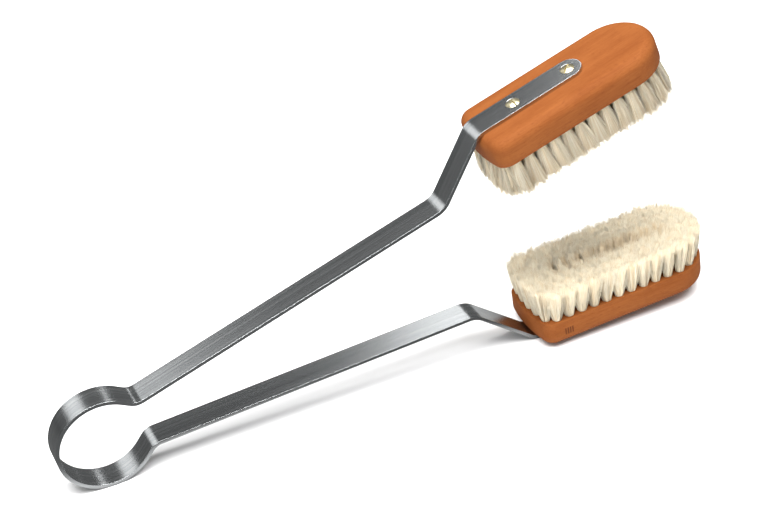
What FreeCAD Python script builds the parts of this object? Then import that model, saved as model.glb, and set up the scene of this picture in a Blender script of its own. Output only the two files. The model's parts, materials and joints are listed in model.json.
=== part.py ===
"""Two-headed tong brush: one bent spring-steel strip with a soft hair brush screwed to each end.

The strip makes a round loop that is both the spring and the hanging eye, and runs on as two arms.
Each arm steps outwards to a flat pad, and a wooden block of hair tufts is screwed under the pad,
so that the two brushes face each other and meet when the arms are squeezed.

The shapes are drawn in the tongs' own frame: the origin is on the loop's axis, X runs along the
tongs, Y is across the strip and Z is the opening direction. The lower half mirrors the upper half.
At the end everything is tilted and lifted so that the brush lies on the ground, as when put down.
"""

import FreeCAD
import Part
import math
import os

from FreeCAD import Placement, Rotation, Vector

# Steel strip (millimetres, and degrees from the tongs' length)
STRIP_WIDTH = 15.0
STRIP_THICKNESS = 2.0
STRIP_EDGE_ROUND = 0.45
LOOP_RADIUS = 24.6
NECK_ANGLE = 40.2
NECK_LENGTH = 4.3
NECK_RADIUS = 8.0
ARM_ANGLE = 7.0
ARM_LENGTH = 173.4
STEP_ANGLE = 48.2
STEP_RADIUS_IN = 12.0
STEP_LENGTH = 34.4
STEP_RADIUS_OUT = 10.0
PAD_ANGLE = 7.1
PAD_LENGTH = 61.2

# Wooden block, measured from the start of the pad
BLOCK_START = -2.6
BLOCK_END = 101.2
BLOCK_WIDTH = 45.0
BLOCK_THICKNESS = 14.8
BLOCK_NEAR_BULGE = 3.0
BLOCK_CORNER_RADIUS = 7.5
BLOCK_BACK_ROUND = 5.6
BLOCK_FACE_BEVEL = 0.5

# Hair tufts
HAIR_LENGTH = 20.5
TUFT_PITCH = 7.6
TUFT_HOLE_RADIUS = 2.6
TUFT_HOLE_DEPTH = 6.0
TUFT_TIP_RADIUS = 3.6
TUFT_GAP = 0.3
RING_NAMES = ("outer", "middle", "inner")
RING_INSETS = (4.2, 11.3, 18.3)
RING_LEANS = (1.9, 1.4, 1.0)

# Flat wire staple that holds each folded tuft at the bottom of its hole
STAPLE_LENGTH = 6.2
STAPLE_HEIGHT = 1.6
STAPLE_THICKNESS = 0.4
STAPLE_LIFT = 0.9

# Slotted raised countersunk wood screws
SCREW_PLACES = (("near", 20.6), ("far", 53.6))
SCREW_HEAD_RADIUS = 3.7
SCREW_DOME_HEIGHT = 1.2
SCREW_SHANK_RADIUS = 1.75
SCREW_CORE_RADIUS = 1.2
SCREW_THREAD_PITCH = 1.2
SCREW_THREAD_TURNS = 4
SCREW_POINT_LENGTH = 2.2
SCREW_NECK_DEPTH = 2.6
SCREW_SLOT_WIDTH = 0.9
SCREW_SLOT_DEPTH = 1.3
SCREW_HOLE_RADIUS = 1.9
SLOT_ANGLES = {"upper": (85.0, 138.0), "lower": (35.0, 115.0)}

HALF_WIDTH = STRIP_WIDTH / 2
HALF_THICKNESS = STRIP_THICKNESS / 2
ACROSS = Vector(0, 1, 0)
TIP_DEPTH = BLOCK_THICKNESS + HAIR_LENGTH


def direction(angle):
    """Unit vector in the XZ plane at an angle above the X axis."""
    return Vector(math.cos(math.radians(angle)), 0, math.sin(math.radians(angle)))


class StripPath:
    """Follows the middle of the bent strip and collects the lines of its two broad faces."""

    def __init__(self, position, heading):
        self.position = position
        self.heading = heading
        self.start_cap = self.cap()
        self.edges = []

    def cap(self):
        """The strip's two edge points at the present position, left of travel first."""
        normal = direction(self.heading + 90) * HALF_THICKNESS
        return self.position + normal, self.position - normal

    def straight(self, length):
        """Run straight on."""
        before = self.cap()
        self.position = self.position + direction(self.heading) * length
        for start, end in zip(before, self.cap()):
            self.edges.append(Part.makeLine(start, end))

    def bend(self, radius, turn):
        """Turn by an angle, left when positive, with the mid-line at a radius."""
        centre = self.position + direction(self.heading + math.copysign(90, turn)) * radius
        caps = [self.cap()]
        for _ in range(2):
            self.heading += turn / 2
            self.position = centre - direction(self.heading + math.copysign(90, turn)) * radius
            caps.append(self.cap())
        for start, middle, end in zip(*caps):
            self.edges.append(Part.Arc(start, middle, end).toShape())

    def solid(self):
        """The strip's solid at its full width."""
        caps = [Part.makeLine(*self.start_cap), Part.makeLine(*self.cap())]
        outline = Part.Wire(Part.sortEdges(self.edges + caps)[0])
        face = Part.Face(outline)
        face.translate(ACROSS * -HALF_WIDTH)
        return face.extrude(ACROSS * STRIP_WIDTH)


def round_rims(solid):
    """Round the strip's four long edges, and leave its square ends as they are."""
    rims = []
    for edge in solid.Edges:
        start, end = edge.firstVertex().Point, edge.lastVertex().Point
        if edge.Length > STRIP_THICKNESS * 1.01 and abs((end - start).normalize().y) < 0.9:
            rims.append(edge)
    return solid.makeFillet(STRIP_EDGE_ROUND, rims)


def make_bow():
    """The spring loop, from the lower neck round the back to the upper neck."""
    arc_start = NECK_ANGLE - 90
    path = StripPath(direction(arc_start) * LOOP_RADIUS, arc_start - 90)
    path.bend(LOOP_RADIUS, -(360 - 2 * (90 - NECK_ANGLE)))
    return round_rims(path.solid())


def arm_path():
    """The upper arm, from the end of the loop to the round tip of the pad."""
    path = StripPath(direction(90 - NECK_ANGLE) * LOOP_RADIUS, -NECK_ANGLE)
    path.straight(NECK_LENGTH)
    path.bend(NECK_RADIUS, NECK_ANGLE + ARM_ANGLE)
    path.straight(ARM_LENGTH)
    path.bend(STEP_RADIUS_IN, STEP_ANGLE - ARM_ANGLE)
    path.straight(STEP_LENGTH)
    path.bend(STEP_RADIUS_OUT, PAD_ANGLE - STEP_ANGLE)
    return path


def pad_frame(path):
    """Place pad coordinates: X along the pad, Y across, Z inwards from the pad's inner face."""
    origin = path.position - direction(PAD_ANGLE + 90) * HALF_THICKNESS
    along = direction(PAD_ANGLE)
    inward = direction(PAD_ANGLE - 90)
    return Placement(origin, Rotation(along, inward.cross(along), inward, "ZXY"))


def placed(shape, frame):
    """A copy of a shape moved from pad coordinates to the tongs' frame."""
    moved = shape.copy()
    moved.Placement = frame.multiply(moved.Placement)
    return moved


def rotated(shape, angle):
    """A copy of a shape turned about the Z axis."""
    turned = shape.copy()
    turned.rotate(Vector(0, 0, 0), Vector(0, 0, 1), angle)
    return turned


def make_screw_blank():
    """The screw before its slot is cut, with its axis on Z and its head at the outer face."""
    face_level = -STRIP_THICKNESS
    dome_shoulder = math.hypot(SCREW_HEAD_RADIUS, SCREW_DOME_HEIGHT) / 2
    dome_angle = math.atan2(SCREW_DOME_HEIGHT, SCREW_HEAD_RADIUS)
    dome_radius = dome_shoulder / math.sin(dome_angle)
    top = Vector(0, 0, face_level - SCREW_DOME_HEIGHT)
    rim = Vector(SCREW_HEAD_RADIUS, 0, face_level)
    middle = top + Vector(dome_radius * math.sin(dome_angle), 0,
                          dome_radius * (1 - math.cos(dome_angle)))
    profile = [Part.Arc(top, middle, rim).toShape()]
    points = [rim]
    points.append(Vector(SCREW_SHANK_RADIUS, 0, face_level + SCREW_HEAD_RADIUS - SCREW_SHANK_RADIUS))
    points.append(Vector(SCREW_SHANK_RADIUS, 0, SCREW_NECK_DEPTH - SCREW_THREAD_PITCH))
    for turn in range(SCREW_THREAD_TURNS):
        depth = SCREW_NECK_DEPTH + (turn - 0.5) * SCREW_THREAD_PITCH
        points.append(Vector(SCREW_CORE_RADIUS, 0, depth))
        points.append(Vector(SCREW_SHANK_RADIUS, 0, depth + SCREW_THREAD_PITCH / 2))
    depth += SCREW_THREAD_PITCH
    points.append(Vector(SCREW_CORE_RADIUS, 0, depth))
    points.append(Vector(0, 0, depth + SCREW_POINT_LENGTH))
    for start, end in zip(points, points[1:]):
        profile.append(Part.makeLine(start, end))
    profile.append(Part.makeLine(points[-1], top))
    face = Part.Face(Part.Wire(profile))
    return face.revolve(Vector(0, 0, 0), Vector(0, 0, 1), 360)


def make_screw(blank, slot_angle):
    """A finished screw with its slot at an angle to the pad's length."""
    span = 4 * SCREW_HEAD_RADIUS
    top = -STRIP_THICKNESS - SCREW_DOME_HEIGHT
    slot = Part.makeBox(span, SCREW_SLOT_WIDTH, 2 * SCREW_SLOT_DEPTH,
                        Vector(-span / 2, -SCREW_SLOT_WIDTH / 2, top - SCREW_SLOT_DEPTH))
    return blank.cut(rotated(slot, slot_angle))


def finish_arm(path, frame):
    """Add the pad, its round tip and its countersunk screw holes to the upper arm."""
    path.straight(PAD_LENGTH)
    strip = path.solid()
    margin = STRIP_WIDTH
    tip = Part.makeBox(HALF_WIDTH + margin, STRIP_WIDTH + 2 * margin, 2 * margin,
                       Vector(PAD_LENGTH - HALF_WIDTH, -HALF_WIDTH - margin, -margin))
    tip = tip.cut(Part.makeCylinder(HALF_WIDTH, 2 * margin,
                                    Vector(PAD_LENGTH - HALF_WIDTH, 0, -margin)))
    strip = round_rims(strip.cut(placed(tip, frame)))
    for _, along in SCREW_PLACES:
        hole = Part.makeCylinder(SCREW_HOLE_RADIUS, 2 * STRIP_THICKNESS,
                                 Vector(along, 0, -1.5 * STRIP_THICKNESS))
        sink = Part.makeCone(SCREW_HEAD_RADIUS, 0, SCREW_HEAD_RADIUS,
                             Vector(along, 0, -STRIP_THICKNESS))
        strip = strip.cut(placed(hole.fuse(sink), frame))
    return strip


def block_outline(inset):
    """The block's plan at an inset: a shallow arc, two straight sides and a half circle.

    The wire starts at the middle of the near end and runs round through -Y.
    """
    half = BLOCK_WIDTH / 2
    near_radius = (half ** 2 + BLOCK_NEAR_BULGE ** 2) / (2 * BLOCK_NEAR_BULGE)
    near_centre = BLOCK_START - BLOCK_NEAR_BULGE + near_radius
    far_centre = BLOCK_END - half
    side = half - inset
    radius = near_radius - inset
    corner = near_centre - math.sqrt(radius ** 2 - side ** 2)
    apex = Vector(near_centre - radius, 0, 0)
    middle_angle = math.asin(side / radius) / 2
    middle = Vector(near_centre - radius * math.cos(middle_angle), radius * math.sin(middle_angle), 0)
    near_right = Part.Arc(apex, Vector(middle.x, -middle.y, 0), Vector(corner, -side, 0)).toShape()
    side_right = Part.makeLine(Vector(corner, -side, 0), Vector(far_centre, -side, 0))
    far_end = Part.Arc(Vector(far_centre, -side, 0), Vector(far_centre + side, 0, 0),
                       Vector(far_centre, side, 0)).toShape()
    side_left = Part.makeLine(Vector(far_centre, side, 0), Vector(corner, side, 0))
    near_left = Part.Arc(Vector(corner, side, 0), middle, apex).toShape()
    return Part.Wire([near_right, side_right, far_end, side_left, near_left])


def make_block_blank():
    """The wooden block before drilling, its back on Z = 0 and its brush face inwards."""
    solid = Part.Face(block_outline(0)).extrude(Vector(0, 0, BLOCK_THICKNESS))
    corners = []
    for edge in solid.Edges:
        start, end = edge.firstVertex().Point, edge.lastVertex().Point
        upright = abs(end.z - start.z) > 0.5 * BLOCK_THICKNESS
        if upright and start.x < 0 and abs(start.y) > BLOCK_WIDTH / 4:
            corners.append(edge)
    solid = solid.makeFillet(BLOCK_CORNER_RADIUS, corners)
    solid = solid.makeFillet(BLOCK_BACK_ROUND, rim_edges(solid, 0))
    return solid.makeChamfer(BLOCK_FACE_BEVEL, rim_edges(solid, BLOCK_THICKNESS))


def rim_edges(solid, level):
    """The edges of a block that lie at one level."""
    return [edge for edge in solid.Edges
            if abs(edge.BoundBox.ZMin - level) < 0.001 and abs(edge.BoundBox.ZMax - level) < 0.001]


def ring_places(inset, lean):
    """Root and tip centres of one ring of tufts, evenly spaced round the block."""
    roots_wire = block_outline(inset)
    tips_wire = block_outline(inset - lean)
    count = round(roots_wire.Length / TUFT_PITCH)
    roots = roots_wire.discretize(Number=count + 1)[:-1]
    tips = tips_wire.discretize(Number=count + 1)[:-1]
    roots = [root + Vector(0, 0, BLOCK_THICKNESS) for root in roots]
    tips = [tip + Vector(0, 0, TIP_DEPTH) for tip in tips]
    return list(zip(roots, tips))


def nearest(points, index):
    """The distance from one point to the nearest other point of a list."""
    return min(points[index].distanceToPoint(point)
               for other, point in enumerate(points) if other != index)


def make_tuft(root, tip, tip_radius):
    """One tuft: a plug that fills its hole and a leaning cone of hair above it."""
    bottom = root - Vector(0, 0, TUFT_HOLE_DEPTH)
    plug = Part.makeCylinder(TUFT_HOLE_RADIUS, TUFT_HOLE_DEPTH, bottom)
    circle_at_root = Part.Wire(Part.makeCircle(TUFT_HOLE_RADIUS, root))
    circle_at_tip = Part.Wire(Part.makeCircle(tip_radius, tip))
    hair = Part.makeLoft([circle_at_root, circle_at_tip], True, True)
    return plug.fuse(hair).removeSplitter()


def make_staple(root):
    """The flat wire that is driven across the grain at the bottom of one tuft's hole."""
    corner = Vector(-STAPLE_THICKNESS / 2, -STAPLE_LENGTH / 2, STAPLE_LIFT - TUFT_HOLE_DEPTH)
    return Part.makeBox(STAPLE_THICKNESS, STAPLE_LENGTH, STAPLE_HEIGHT, root + corner)


def make_rings():
    """Tufts and staples of every ring, as lists of solids by ring name."""
    rings = {}
    places = [ring_places(inset, lean) for inset, lean in zip(RING_INSETS, RING_LEANS)]
    all_tips = [tip for ring in places for _, tip in ring]
    index = 0
    for name, ring in zip(RING_NAMES, places):
        tufts = []
        staples = []
        for root, tip in ring:
            room = (nearest(all_tips, index) - TUFT_GAP) / 2
            staple = make_staple(root)
            staples.append(staple)
            tufts.append(make_tuft(root, tip, min(room, TUFT_TIP_RADIUS)).cut(staple))
            index += 1
        rings[name] = (tufts, staples)
    return rings


def make_half(side, rings):
    """All the pieces of one half in the tongs' frame, by node name."""
    path = arm_path()
    frame = pad_frame(path)
    pieces = {"arm": finish_arm(path, frame)}
    block = make_block_blank()
    blank = make_screw_blank()
    for (place, along), slot_angle in zip(SCREW_PLACES, SLOT_ANGLES[side]):
        shift = Placement(Vector(along, 0, 0), Rotation())
        block = block.cut(placed(blank, shift))
        pieces["screw_" + place] = placed(make_screw(blank, slot_angle), frame.multiply(shift))
    for name, (tufts, staples) in rings.items():
        holes = [Part.makeCylinder(TUFT_HOLE_RADIUS, TUFT_HOLE_DEPTH + 1,
                                   root - Vector(0, 0, TUFT_HOLE_DEPTH))
                 for root, _ in ring_places(RING_INSETS[RING_NAMES.index(name)],
                                            RING_LEANS[RING_NAMES.index(name)])]
        block = block.cut(holes)
        block = block.cut(staples)
        pieces[name + "_tufts"] = placed(Part.makeCompound(tufts), frame)
        pieces[name + "_staples"] = placed(Part.makeCompound(staples), frame)
    pieces["block"] = placed(block, frame)
    if side == "lower":
        pieces = {name: piece.mirror(Vector(0, 0, 0), Vector(0, 0, 1))
                  for name, piece in pieces.items()}
    return {side + "_" + name: piece for name, piece in pieces.items()}


def resting_tilt():
    """The tilt that lays both the loop and the lower pad's bend on the ground."""
    path = arm_path()
    centre = path.position + direction(PAD_ANGLE - 90) * STEP_RADIUS_OUT
    distance = math.hypot(centre.x, centre.z)
    drop = (LOOP_RADIUS - STEP_RADIUS_OUT) / distance
    return math.degrees(math.atan2(centre.z, centre.x) - math.asin(drop))


def closing_angle():
    """How far the upper half turns until the hair tips of the two brushes meet."""
    frame = pad_frame(arm_path())
    angles = []
    for along in (BLOCK_START, BLOCK_END):
        tip = frame.multVec(Vector(along, 0, TIP_DEPTH))
        angles.append(math.degrees(math.atan2(tip.z, tip.x)))
    return 2 * min(angles)


def main():
    """Build every piece, lay the brush on the ground and write one file per piece."""
    rings = make_rings()
    pieces = {"spring_bow": make_bow()}
    pieces.update(make_half("lower", rings))
    pieces.update(make_half("upper", rings))

    tilt = Rotation(ACROSS, -resting_tilt())
    for piece in pieces.values():
        piece.Placement = Placement(Vector(), tilt).multiply(piece.Placement)
    box = Part.makeCompound(list(pieces.values())).optimalBoundingBox()
    lift = Vector(-(box.XMin + box.XMax) / 2, 0, -box.ZMin)

    os.makedirs("parts", exist_ok=True)
    for name, piece in pieces.items():
        piece.Placement = Placement(lift, Rotation()).multiply(piece.Placement)
        piece.exportStep("parts/" + name + ".step")
        print(name, len(piece.Solids), "solids", round(piece.Volume), "mm3", piece.isValid())
    print("tilt", round(resting_tilt(), 3), "loop axis", tuple(round(value, 3) for value in lift))
    print("closing angle", round(closing_angle(), 2))
    print("box", round(box.XLength, 2), round(box.YLength, 2), round(box.ZLength, 2))


main()
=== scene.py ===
"""Looks of a two-headed tong brush: a bent spring-steel strip with a hair brush at each end.

Lengths are in metres. Three sets of coordinates are used. The tongs' own frame has its origin on
the spring loop's axis, X along the tongs, Y across the strip and Z in the opening direction. Pad
coordinates have X along one pad, Y across it and Z from the pad's inner face into the block. The
row frame is the frame that the finished pieces stand in.
"""

import json
import logging
import math
from dataclasses import dataclass
from enum import Enum
from typing import Callable, Optional, Sequence, Union

import bmesh
import bpy
import numpy as np
from mathutils import Matrix, Vector


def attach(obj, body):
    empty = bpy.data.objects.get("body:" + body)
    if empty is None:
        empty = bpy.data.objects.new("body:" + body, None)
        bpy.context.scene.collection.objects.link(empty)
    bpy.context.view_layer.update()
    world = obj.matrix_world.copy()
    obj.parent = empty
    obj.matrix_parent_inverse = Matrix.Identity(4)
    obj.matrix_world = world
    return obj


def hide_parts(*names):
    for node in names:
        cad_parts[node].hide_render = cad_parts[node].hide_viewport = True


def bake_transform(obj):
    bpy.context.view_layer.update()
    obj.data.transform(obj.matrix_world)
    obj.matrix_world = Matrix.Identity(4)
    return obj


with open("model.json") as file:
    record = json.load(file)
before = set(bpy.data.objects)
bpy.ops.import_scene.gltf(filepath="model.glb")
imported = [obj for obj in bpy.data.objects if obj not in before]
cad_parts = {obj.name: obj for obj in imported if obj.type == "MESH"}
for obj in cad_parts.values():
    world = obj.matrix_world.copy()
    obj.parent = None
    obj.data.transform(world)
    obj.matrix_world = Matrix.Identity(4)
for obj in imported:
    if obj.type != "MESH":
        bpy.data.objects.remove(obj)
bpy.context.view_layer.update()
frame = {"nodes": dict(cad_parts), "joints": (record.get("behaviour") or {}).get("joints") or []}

LOG = logging.getLogger("tong_brush")
MM = 0.001
SAME_PLACE = 0.002 * MM


class Side(Enum):
    """The two halves of the tongs."""

    LOWER = "lower"
    UPPER = "upper"

    @property
    def body(self) -> str:
        """Name of the rigid body that this half's pieces ride on."""
        return self.value + "_half"


class Ring(Enum):
    """The three rings of tufts in a block, from its edge to its middle."""

    OUTER = "outer"
    MIDDLE = "middle"
    INNER = "inner"


# ---------------------------------------------------------------------------
# Shader maths
# ---------------------------------------------------------------------------

Value = Union["Link", float, int]


class Link:
    """A node's output socket that can be used in sums, products and comparisons."""

    def __init__(self, tree: "NodeTree", socket: bpy.types.NodeSocket) -> None:
        """Remember the tree and the socket."""
        self.tree = tree
        self.socket = socket

    def _math(self, operation: str, *values: Value, clamp: bool = False) -> "Link":
        """Add one Math node.

        Args:
            operation: The node's operation.
            values: Its inputs in order.
            clamp: Whether the result is held between 0 and 1.

        Returns:
            The node's output.
        """
        node = self.tree.node("ShaderNodeMath", {"operation": operation, "use_clamp": clamp},
                              {index: value for index, value in enumerate(values)})
        return node.out()

    def __add__(self, other: Value) -> "Link":
        """Sum."""
        return self._math("ADD", self, other)

    __radd__ = __add__

    def __sub__(self, other: Value) -> "Link":
        """Difference."""
        return self._math("SUBTRACT", self, other)

    def __rsub__(self, other: Value) -> "Link":
        """Difference the other way round."""
        return self._math("SUBTRACT", other, self)

    def __mul__(self, other: Value) -> "Link":
        """Product."""
        return self._math("MULTIPLY", self, other)

    def __abs__(self) -> "Link":
        """Size without sign."""
        return self._math("ABSOLUTE", self)

    def ping_pong(self, scale: float) -> "Link":
        """Rising and falling between 0 and a scale."""
        return self._math("PINGPONG", self, scale)

    def clamped(self) -> "Link":
        """Held between 0 and 1."""
        return self._math("ADD", self, 0.0, clamp=True)

    def below(self, limit: float, blur: float) -> "Link":
        """1 where the value is under a limit, 0 over it, with a soft edge.

        Args:
            limit: The value at which the result is one half.
            blur: Width of the change from 1 to 0.

        Returns:
            The mask.
        """
        return ((limit - self) * (1.0 / blur) + 0.5).clamped()


class Node:
    """A shader node whose sockets are reached by name."""

    def __init__(self, tree: "NodeTree", node: bpy.types.Node) -> None:
        """Remember the tree and the node."""
        self.tree = tree
        self.node = node

    def out(self, name: Union[str, int] = 0) -> Link:
        """One output as a Link."""
        return Link(self.tree, self.node.outputs[name])


class NodeTree:
    """Builds one material's or world's nodes."""

    def __init__(self, owner: Union[bpy.types.Material, bpy.types.World]) -> None:
        """Empty the owner's node tree.

        Args:
            owner: The material or world whose nodes are built.
        """
        owner.use_nodes = True
        self.tree = owner.node_tree
        self.tree.nodes.clear()

    def node(self, kind: str, settings: Optional[dict] = None,
             inputs: Optional[dict] = None) -> Node:
        """Add a node.

        Args:
            kind: The node's type name.
            settings: Attributes of the node, set first. "stops" holds a ramp's (place, colour) pairs.
            inputs: Values or Links by the name or number of the input socket.

        Returns:
            The new node.
        """
        node = self.tree.nodes.new(kind)
        for name, value in (settings or {}).items():
            if name == "stops":
                self._set_stops(node.color_ramp, value)
            else:
                setattr(node, name, value)
        for name, value in (inputs or {}).items():
            socket = node.inputs[name]
            if isinstance(value, Link):
                self.tree.links.new(value.socket, socket)
            else:
                socket.default_value = value
        return Node(self, node)

    @staticmethod
    def _set_stops(ramp: bpy.types.ColorRamp, stops: Sequence[tuple]) -> None:
        """Give a colour ramp its stops.

        Args:
            ramp: The ramp, which keeps its first element.
            stops: (place, colour) pairs in rising order.
        """
        while len(ramp.elements) > 1:
            ramp.elements.remove(ramp.elements[-1])
        for index, (place, colour) in enumerate(stops):
            element = ramp.elements[0] if index == 0 else ramp.elements.new(place)
            element.position = place
            element.color = colour

    def mix(self, factor: Value, first: Union[Link, tuple], second: Union[Link, tuple]) -> Link:
        """Mix two colours.

        Args:
            factor: Share of the second colour.
            first: Colour at 0.
            second: Colour at 1.

        Returns:
            The mixed colour.
        """
        node = self.node("ShaderNodeMix", {"data_type": "RGBA"},
                         {0: factor, 6: first, 7: second})
        return node.out(2)

    def place(self, turn: Matrix, stretch: Sequence[float]) -> Link:
        """Object coordinates in another frame, then stretched along its axes.

        Args:
            turn: The matrix from Object coordinates to the other frame.
            stretch: Factors along the other frame's axes.

        Returns:
            The coordinates.
        """
        raw = self.node("ShaderNodeTexCoord").out("Object")
        turned = self.node("ShaderNodeMapping", None, {
            "Vector": raw, "Location": turn.to_translation(), "Rotation": turn.to_euler()}).out()
        return self.node("ShaderNodeMapping", None, {"Vector": turned, "Scale": stretch}).out()

    def plain_place(self) -> Link:
        """Object coordinates as they are."""
        return self.place(Matrix.Identity(4), (1, 1, 1))

    def axes(self, vector: Link) -> Node:
        """A vector taken apart, with outputs X, Y and Z."""
        return self.node("ShaderNodeSeparateXYZ", None, {"Vector": vector})

    def noise(self, vector: Link, scale: float, detail: float = 2.0, roughness: float = 0.5) -> Link:
        """Soft noise from 0 to 1."""
        return self.node("ShaderNodeTexNoise", None, {
            "Vector": vector, "Scale": scale, "Detail": detail, "Roughness": roughness}).out(0)

    def bump(self, height: Link, strength: float, distance: float) -> Link:
        """A normal from a height."""
        return self.node("ShaderNodeBump", None, {
            "Height": height, "Strength": strength, "Distance": distance}).out()

    def principled(self, inputs: dict) -> Link:
        """A Principled shader."""
        return self.node("ShaderNodeBsdfPrincipled", None, inputs).out()

    def blend(self, factor: Value, first: Link, second: Link) -> Link:
        """Two shaders mixed."""
        return self.node("ShaderNodeMixShader", None, {0: factor, 1: first, 2: second}).out()

    def finish(self, shader: Link) -> None:
        """Give the tree its output."""
        self.node("ShaderNodeOutputMaterial", None, {"Surface": shader})

    def surface(self, inputs: dict) -> None:
        """Finish the tree with one Principled shader."""
        self.finish(self.principled(inputs))


def new_material(name: str) -> tuple[bpy.types.Material, NodeTree]:
    """A new material and the builder of its nodes."""
    material = bpy.data.materials.new(name)
    return material, NodeTree(material)


# ---------------------------------------------------------------------------
# Finishes
# ---------------------------------------------------------------------------

@dataclass(frozen=True)
class BrushedSteel:
    """Stainless spring steel, brushed along the strip."""

    colour: tuple = (0.62, 0.635, 0.64, 1.0)
    shade: tuple = (0.38, 0.40, 0.41, 1.0)
    roughness: float = 0.23
    line_scale: float = 1900.0
    streak_scale: float = 700.0
    along: float = 9.0
    streak_along: float = 5.4
    depth: float = 0.055 * MM
    flat_reach: float = 6.9 * MM

    def material(self) -> bpy.types.Material:
        """Grain lines that run along the strip, as the strip's width is Y everywhere.

        Returns:
            The material.
        """
        material, tree = new_material("brushed_steel")
        lines = self._drawn_out(tree, self.along, self.line_scale, 0.6)
        streaks = self._drawn_out(tree, self.streak_along, self.streak_scale, 0.5)
        grain = lines * 0.55 + streaks * 0.45
        flat = abs(tree.axes(tree.plain_place()).out("Y")).below(self.flat_reach, 0.2 * MM)
        contrast = ((grain - 0.5) * 2.2 + 0.5).clamped()
        tree.surface({
            "Base Color": tree.mix(contrast, self.shade, self.colour),
            "Metallic": 1.0,
            "Roughness": self.roughness + (grain - 0.5) * 0.16,
            "Normal": tree.bump((grain - 0.5) * flat, 1.0, self.depth)})
        return material

    @staticmethod
    def _drawn_out(tree: NodeTree, along: float, across: float, roughness: float) -> Link:
        """Noise that is fine across the strip and drawn out along it."""
        place = tree.place(Matrix.Identity(4), (along, across, along))
        return tree.noise(place, 1.0, 2.0, roughness)


@dataclass(frozen=True)
class PearWood:
    """Oiled pear wood with fine grain along the block."""

    name: str
    to_block: Matrix
    marked: bool
    light: tuple = (0.222, 0.072, 0.0195, 1.0)
    deep: tuple = (0.148, 0.040, 0.0095, 1.0)
    fleck: tuple = (0.105, 0.026, 0.007, 1.0)
    burnt: tuple = (0.040, 0.012, 0.006, 1.0)
    mark_centre: tuple = (9.6 * MM, 7.8 * MM)
    mark_size: tuple = (5.6 * MM, 4.0 * MM)
    strokes: int = 4
    stroke_half: float = 0.42 * MM
    side_from: float = -18 * MM
    mark_strength: float = 0.70

    def material(self) -> bpy.types.Material:
        """Broad figure, fine fibres and short flecks, all drawn out along the block.

        Returns:
            The material.
        """
        material, tree = new_material(self.name)
        figure = self._grain(tree, 14.0, 150.0, 3.0, 0.55)
        cloud = self._grain(tree, 28.0, 45.0, 2.0, 0.5)
        fibre = self._grain(tree, 90.0, 2200.0, 2.0, 0.6)
        pores = self._grain(tree, 420.0, 3000.0, 1.0, 0.5)
        tone = ((figure - 0.5) * 1.2 + (cloud - 0.5) * 0.9 + (fibre - 0.5) * 1.2 + 0.60).clamped()
        colour = tree.mix(tone, self.deep, self.light)
        colour = tree.mix((1.0 - pores.below(0.64, 0.06)) * 0.35, colour, self.fleck)
        height = fibre * 0.7 + pores.below(0.64, 0.08) * 0.3
        if self.marked:
            mark = self._mark(tree)
            colour = tree.mix(mark * self.mark_strength, colour, self.burnt)
            height = height - mark * 1.5
        tree.surface({
            "Base Color": colour,
            "Roughness": 0.68 + (fibre - 0.5) * 0.12,
            "Specular IOR Level": 0.05,
            "Normal": tree.bump(height, 0.30, 0.05 * MM)})
        return material

    def _grain(self, tree: NodeTree, along: float, across: float, detail: float,
               roughness: float) -> Link:
        """Noise with its own scales along and across the block."""
        return tree.noise(tree.place(self.to_block, (along, across, across)), 1.0, detail, roughness)

    def _mark(self, tree: NodeTree) -> Link:
        """A plain burnt mark, a row of upright strokes, on the block's front side.

        Args:
            tree: The wood's nodes.

        Returns:
            The mark's mask.
        """
        parts = tree.axes(tree.place(self.to_block, (1, 1, 1)))
        (middle, level), (length, tall) = self.mark_centre, self.mark_size
        soft = 0.2 * MM
        along = abs(parts.out("X") - middle).below(length / 2, soft)
        height = abs(parts.out("Z") - level).below(tall / 2, soft)
        front = parts.out("Y").below(self.side_from, 1 * MM)
        pitch = length / self.strokes
        phase = (parts.out("X") - (middle - pitch / 2)).ping_pong(pitch / 2)
        return along * height * phase.below(self.stroke_half, soft) * front


@dataclass(frozen=True)
class GoatHair:
    """Soft cream goat hair; each hair's tone is in the second number of its UV place."""

    # the root colour is darker than the tip as painted shade at the foot of the tufts
    root: tuple = (0.86, 0.76, 0.56, 1.0)
    middle: tuple = (0.95, 0.88, 0.71, 1.0)
    tip: tuple = (0.98, 0.91, 0.74, 1.0)
    tan: tuple = (0.72, 0.56, 0.34, 1.0)
    translucence: float = 0.45

    def material(self) -> bpy.types.Material:
        """Darker towards the root as painted shade, paler at the tip, with some tanned hairs among the
        cream; the extra tanned tone of the hairs facing the block's middle and of the solid bundles is
        painted shade too.

        Returns:
            The material.
        """
        material, tree = new_material("goat_hair")
        parts = tree.axes(tree.node("ShaderNodeUVMap", {"uv_map": "hair"}).out())
        along, tone = parts.out("X"), parts.out("Y")
        # painted shade: the ramp darkens each hair towards its root
        ramp = tree.node("ShaderNodeValToRGB", {"stops": [
            (0.0, self.root), (0.35, self.middle), (1.0, self.tip)]}, {"Fac": along}).out()
        # the random tone of each hair is its own colour; the extra tone of the hairs facing the middle
        # and of the bundles is painted shade
        colour = tree.mix((tone - 0.42) * 1.2, ramp, self.tan)
        front = tree.principled({
            "Base Color": colour,
            "Roughness": 0.60,
            "Specular IOR Level": 0.25,
            "Sheen Weight": 0.20,
            "Sheen Roughness": 0.5})
        through = tree.node("ShaderNodeBsdfTranslucent", None, {"Color": colour}).out()
        tree.finish(tree.blend(self.translucence, front, through))
        return material


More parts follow.
